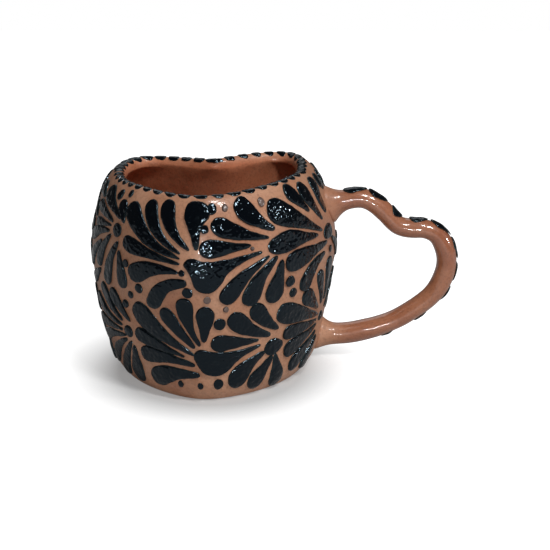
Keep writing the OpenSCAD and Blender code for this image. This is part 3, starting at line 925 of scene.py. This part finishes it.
def swell_drops(piece, clay, sizes, swell, rise):
    """Swells the drops, makes them uneven, levels them off and notes how thick they are."""
    shares = [0.0] * len(piece.data.vertices)
    piece.data.attributes["swell"].data.foreach_get("value", shares)
    moved, depths = [], []
    for vertex, share in zip(piece.data.vertices, shares):
        point = vertex.co
        lump = noise.noise(point / sizes.wobble_size + LUMP_START)
        fine = noise.noise(point / (sizes.wobble_size * FINE_SIZE) + FINE_START)
        uneven = sizes.hand_wobble * (lump + FINE_HEIGHT * fine)
        point = point + vertex.normal * (share * swell + uneven)
        near, normal, _, _ = clay.find_nearest(point)
        height = (point - near).dot(normal)
        if height > 0:
            level = rise * (1 + LUMP_LEVEL * lump)
            flat = level * math.tanh(height / level)
            point += normal * (flat - height)
            height = flat
        moved.append(point)
        depths.append(max(0.0, min(1.0, height / rise)))
    place_points(piece, moved)
    note(piece, "enamel_depth", depths)


def squeeze_enamel(context, names, material, slot, swell, rise, stroke=None):
    """Makes the enamel of these nodes, each a group of drops squeezed onto the clay."""
    sizes = context.scene.mug_sizes
    clay = surface_of(CUP_NAME, HANDLE_NAME)
    for node, name in names.items():
        piece = copy_of(node, name)
        if stroke:
            stroke(piece, clay, sizes)
        draw_tails(piece, sizes)
        if name in PUSHES:
            push_drop(piece, clay, *PUSHES[name])
        sink_foot(piece, clay, sizes.enamel_sink)
        smooth(piece, sizes.enamel_levels)
        swell_drops(piece, clay, sizes, swell, rise)
        put_on(piece, material, slot, node)


class MUG_OT_lip_dashes(bpy.types.Operator):
    """Strokes the slanted enamel dashes across the lip"""

    bl_idname = "mug.lip_dashes"
    bl_label = "Lip dashes"

    def execute(self, context):
        sizes, dark = context.scene.mug_sizes, dark_enamel(context.scene.mug_colours)
        squeeze_enamel(
            context, LIP_DASHES, dark, "dark_enamel",
            swell=sizes.dash_swell, rise=sizes.dash_rise, stroke=stroke_dashes,
        )
        return {"FINISHED"}


class MUG_OT_handle_dashes(bpy.types.Operator):
    """Wraps the enamel dashes round the back of the handle"""

    bl_idname = "mug.handle_dashes"
    bl_label = "Handle dashes"

    def execute(self, context):
        sizes, dark = context.scene.mug_sizes, dark_enamel(context.scene.mug_colours)
        squeeze_enamel(
            context, HANDLE_DASHES, dark, "dark_enamel",
            swell=sizes.dash_swell, rise=sizes.handle_dash_rise, stroke=wrap_dashes,
        )
        return {"FINISHED"}


class MUG_OT_petals(bpy.types.Operator):
    """Squeezes the fans of petals with their hubs, and the loose petals, onto the cup"""

    bl_idname = "mug.petals"
    bl_label = "Petals"

    def execute(self, context):
        sizes, dark = context.scene.mug_sizes, dark_enamel(context.scene.mug_colours)
        squeeze_enamel(
            context, PETALS, dark, "dark_enamel",
            swell=sizes.petal_swell, rise=sizes.petal_rise,
        )
        return {"FINISHED"}


class MUG_OT_dots(bpy.types.Operator):
    """Sets the thick dark dots and the thin grey ones between the fans"""

    bl_idname = "mug.dots"
    bl_label = "Dots"

    def execute(self, context):
        sizes, colours = context.scene.mug_sizes, context.scene.mug_colours
        for names, material, slot in (
            (DARK_DOTS, dark_enamel(colours), "dark_enamel"),
            (GREY_DOTS, grey_enamel(colours), "grey_enamel"),
        ):
            squeeze_enamel(
                context, names, material, slot,
                swell=sizes.dash_swell, rise=sizes.petal_rise,
            )
        return {"FINISHED"}


class MUG_OT_hand(bpy.types.Operator):
    """Gives every finished piece the slight stray of a hand-built mug"""

    bl_idname = "mug.hand"
    bl_label = "Hand-built stray"

    def execute(self, context):
        for name in (CUP_NAME, HANDLE_NAME, *ENAMEL.values()):
            bend_by_hand(bpy.data.objects[name], context.scene.mug_sizes)
        return {"FINISHED"}


# ---- stage


def lay_floor(size):
    """A pale floor that glows white for the camera but less by the mug: a painted shadow round
    its foot, within which its cast shadow also shows.
    """
    bpy.ops.object.select_all(action="DESELECT")
    bpy.ops.mesh.primitive_plane_add(size=size)
    floor = bpy.context.object
    floor.name = "floor"
    material, shader, add, link = new_material("pale_floor")
    shader.inputs["Base Color"].default_value = (FLOOR_GREY, FLOOR_GREY, FLOOR_GREY, 1)
    shader.inputs["Roughness"].default_value = 1
    shader.inputs["Specular IOR Level"].default_value = 0
    shader.inputs["Emission Color"].default_value = (1, 1, 1, 1)
    place = add("ShaderNodeTexCoord").outputs["Object"]
    away = add("ShaderNodeVectorMath", {0: place}, operation="LENGTH").outputs["Value"]
    share = add("ShaderNodeMath", {0: away, 1: 1 / FLOOR_REACH}, operation="MULTIPLY")
    # painted shadow: the glow falls off towards the mug and darkens the floor round it, whatever
    # the lamps do
    white = ramp(add, share.outputs["Value"], *FLOOR_GLOW_AND_PAINTED_SHADOW)
    seen = add("ShaderNodeLightPath").outputs["Is Camera Ray"]
    glow = add("ShaderNodeMath", {0: seen, 1: white}, operation="MULTIPLY")
    link(glow.outputs["Value"], shader.inputs["Emission Strength"])
    floor.data.materials.append(material)


def light_room(scene, level, gleam):
    """Even white light, weaker where the glaze mirrors it and full white for the camera."""
    world = bpy.data.worlds.new("room")
    scene.world = world
    world.use_nodes = True
    tree = world.node_tree
    add = adder(tree)
    path = add("ShaderNodeLightPath").outputs
    lit = add("ShaderNodeMix", {"Factor": path["Is Glossy Ray"], "A": level, "B": gleam})
    shown = add(
        "ShaderNodeMix", {"Factor": path["Is Camera Ray"], "A": lit.outputs["Result"], "B": 1.0}
    )
    ground = tree.nodes["Background"]
    ground.inputs["Color"].default_value = (1, 1, 1, 1)
    tree.links.new(shown.outputs["Result"], ground.inputs["Strength"])


def direction(turn, height):
    """Unit vector from the mug, turned from the front towards the handle and raised."""
    return Vector(
        (math.sin(turn) * math.cos(height), -math.cos(turn) * math.cos(height), math.sin(height))
    )


def hang_lamp(name, place, at, size, power):
    """A soft four-sided lamp that looks at a point."""
    bpy.ops.object.light_add(type="AREA", location=place)
    lamp = bpy.context.object
    lamp.name = name
    lamp.data.shape = "RECTANGLE"
    lamp.data.size, lamp.data.size_y = size
    lamp.data.energy = power
    lamp.rotation_mode = "QUATERNION"
    lamp.rotation_quaternion = (at - lamp.location).to_track_quat("-Z", "Y")


def hang_lamps(stage, middle):
    """The three lamps round the front of the mug and the two larger ones over and behind it."""
    key = middle + direction(stage.key_turn, stage.key_height) * stage.lamp_distance
    strip = middle + direction(stage.strip_turn, stage.strip_height) * stage.lamp_distance
    side = middle + direction(stage.side_turn, stage.side_height) * stage.lamp_distance
    for name, place, size, power in (
        ("key", key, (stage.key_size, stage.key_size), stage.key_power),
        ("strip", strip, stage.strip_size, stage.strip_power),
        ("side", side, (stage.side_size, stage.side_size), stage.side_power),
        ("top", stage.top_place, (stage.top_size, stage.top_size), stage.top_power),
        ("back", stage.back_place, (stage.back_size, stage.back_size), stage.back_power),
    ):
        hang_lamp(name, place, middle, size, power)


def set_camera(scene, middle):
    """The camera, at the photograph's viewing angle and frame."""
    stage = scene.mug_stage
    away = direction(stage.camera_turn, stage.camera_height)
    right = (-away).cross(UP).normalized()
    up = right.cross(-away)
    turn, tilt = math.cos(stage.camera_roll), math.sin(stage.camera_roll)
    right, up = right * turn + up * tilt, up * turn - right * tilt
    data = bpy.data.cameras.new("camera")
    camera = bpy.data.objects.new("camera", data)
    scene.collection.objects.link(camera)
    axes = Matrix((right, up, away)).transposed().to_4x4()
    camera.matrix_world = Matrix.Translation(middle + away * stage.camera_distance) @ axes
    data.sensor_width = SENSOR_WIDTH
    data.lens = stage.camera_focal_px / PHOTO_PX * SENSOR_WIDTH
    data.shift_x = (PHOTO_PX / 2 - stage.aim_px[0]) / PHOTO_PX
    data.shift_y = (stage.aim_px[1] - PHOTO_PX / 2) / PHOTO_PX
    data.clip_start, data.clip_end = CLIP
    scene.camera = camera


class MUG_OT_stage(bpy.types.Operator):
    """Lays the floor, lights the room, hangs the lamps and sets up the camera"""

    bl_idname = "mug.stage"
    bl_label = "Stage"

    def execute(self, context):
        scene = context.scene
        stage = scene.mug_stage
        middle = Vector((0, 0, MIDDLE_HEIGHT + scene.mug_sizes.foot_lift))
        lay_floor(stage.floor_size)
        light_room(scene, stage.room_level, stage.room_gleam)
        hang_lamps(stage, middle)
        set_camera(scene, middle)
        scene.view_settings.view_transform = "Standard"
        return {"FINISHED"}


# ---- panel and registration


class MUG_PT_panel(bpy.types.Panel):
    """Lists the steps in order, and the sizes, colours and lamps"""

    bl_idname = "MUG_PT_panel"
    bl_label = "Mug"
    bl_space_type = "VIEW_3D"
    bl_region_type = "UI"
    bl_category = "Mug"

    def draw(self, context):
        layout, scene = self.layout, context.scene
        for step in STEPS:
            layout.operator(step.bl_idname)
        for group in (scene.mug_sizes, scene.mug_colours, scene.mug_stage):
            box = layout.box()
            for key in group.__annotations__:
                box.prop(group, key)


STEPS = (
    MUG_OT_cup,
    MUG_OT_handle,
    MUG_OT_lip_dashes,
    MUG_OT_handle_dashes,
    MUG_OT_petals,
    MUG_OT_dots,
    MUG_OT_hand,
    MUG_OT_stage,
)
CLASSES = (MugSizes, MugColours, MugStage, *STEPS, MUG_PT_panel)


def register():
    """Makes the classes known and gives the scene its three groups of values."""
    for made in CLASSES:
        bpy.utils.register_class(made)
    bpy.types.Scene.mug_sizes = bpy.props.PointerProperty(type=MugSizes)
    bpy.types.Scene.mug_colours = bpy.props.PointerProperty(type=MugColours)
    bpy.types.Scene.mug_stage = bpy.props.PointerProperty(type=MugStage)


def unregister():
    """Takes back what register did."""
    for key in ("mug_sizes", "mug_colours", "mug_stage"):
        delattr(bpy.types.Scene, key)
    for made in reversed(CLASSES):
        bpy.utils.unregister_class(made)


def main():
    """Makes the whole mug and its stage."""
    register()
    bpy.ops.mug.cup()
    bpy.ops.mug.handle()
    bpy.ops.mug.lip_dashes()
    bpy.ops.mug.handle_dashes()
    bpy.ops.mug.petals()
    bpy.ops.mug.dots()
    bpy.ops.mug.hand()
    bpy.ops.mug.stage()


if __name__ == "__main__":
    main()
